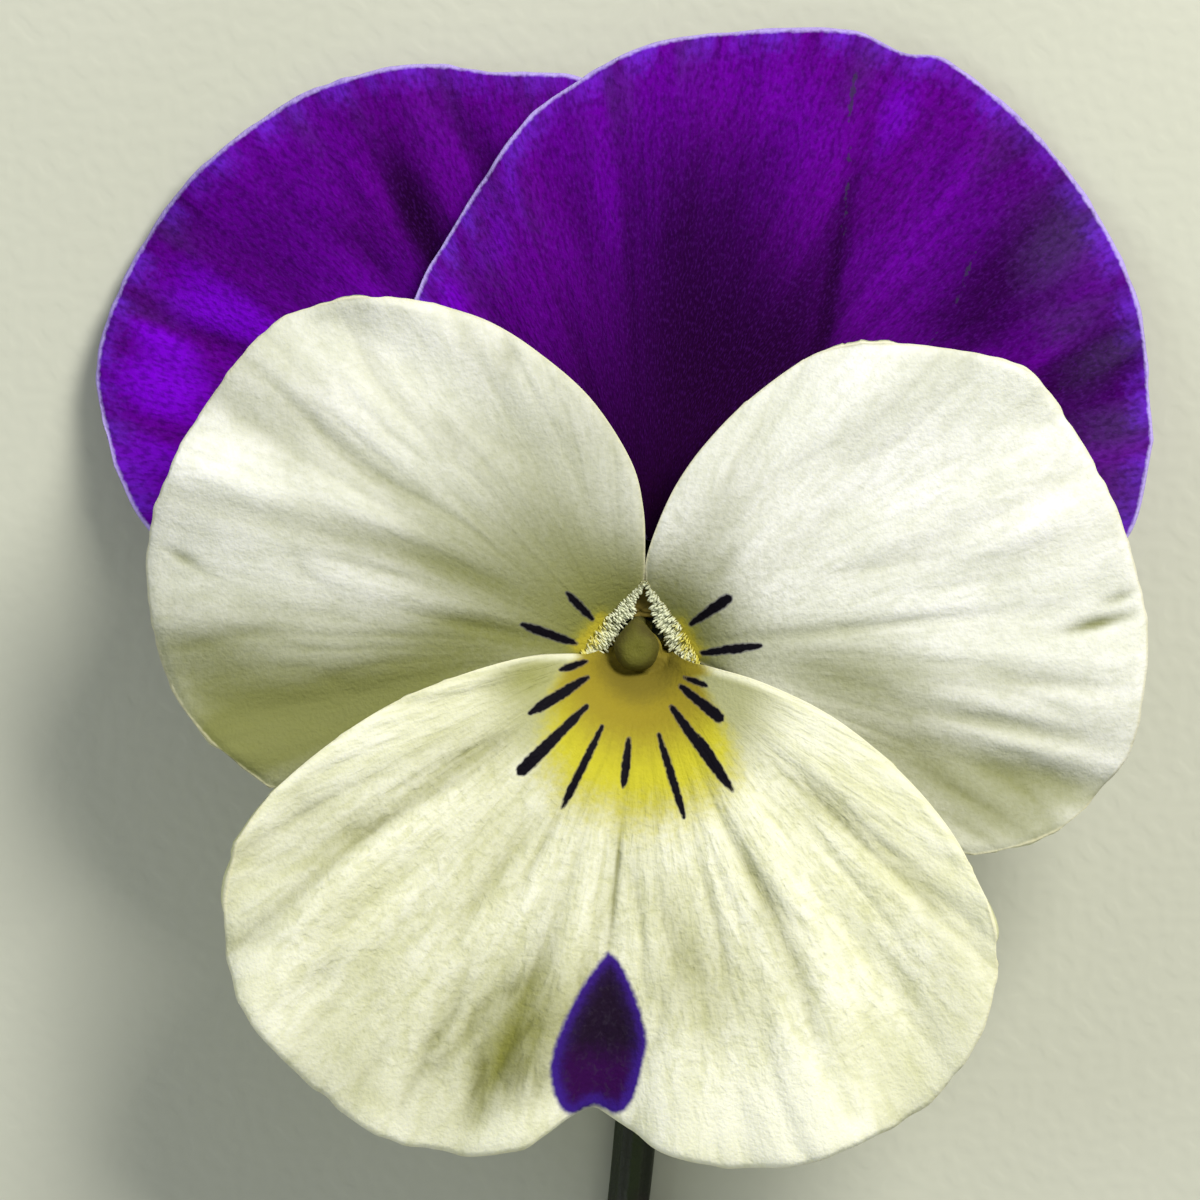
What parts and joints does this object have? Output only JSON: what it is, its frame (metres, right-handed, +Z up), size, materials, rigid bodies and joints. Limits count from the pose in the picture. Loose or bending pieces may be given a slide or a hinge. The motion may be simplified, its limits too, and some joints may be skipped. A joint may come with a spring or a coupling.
{
  "type": "horned violet bloom",
  "caption": "Cut violet bloom lying face up on its stalk: purple upper petals, cream side and lower petals, yellow eye with dark whisker lines, and a nectar spur behind.",
  "frame": {"origin": "on the surface that the bloom lies on, under the middle of its throat, on the flat underside of the stalk", "axes": "+Z up, out of the flower's face; +Y to the top of the bloom, away from the cut end of the stalk; +X to the right seen from in front of the face"},
  "size_m": [0.0356, 0.0688, 0.0101],
  "materials": {
    "purple_petal": "velvety matt petal tissue",
    "cream_petal": "soft satin petal tissue",
    "lower_petal": "soft satin petal tissue with a yellow eye",
    "green_stem": "smooth green stalk skin",
    "green_sepal": "matt leaf surface",
    "pistil": "waxy olive green",
    "anther": "matt orange brown"
  },
  "bodies": {
    "root": {"petal_upper_left": "purple_petal", "petal_upper_right": "purple_petal", "petal_side_left": "cream_petal", "petal_side_right": "cream_petal", "petal_lower": "lower_petal", "stem": "green_stem", "sepal_top": "green_sepal", "sepal_side_left": "green_sepal", "sepal_side_right": "green_sepal", "sepal_low_left": "green_sepal", "sepal_low_right": "green_sepal", "pistil": "pistil", "anther_cone": "anther"}
  },
  "joints": []
}
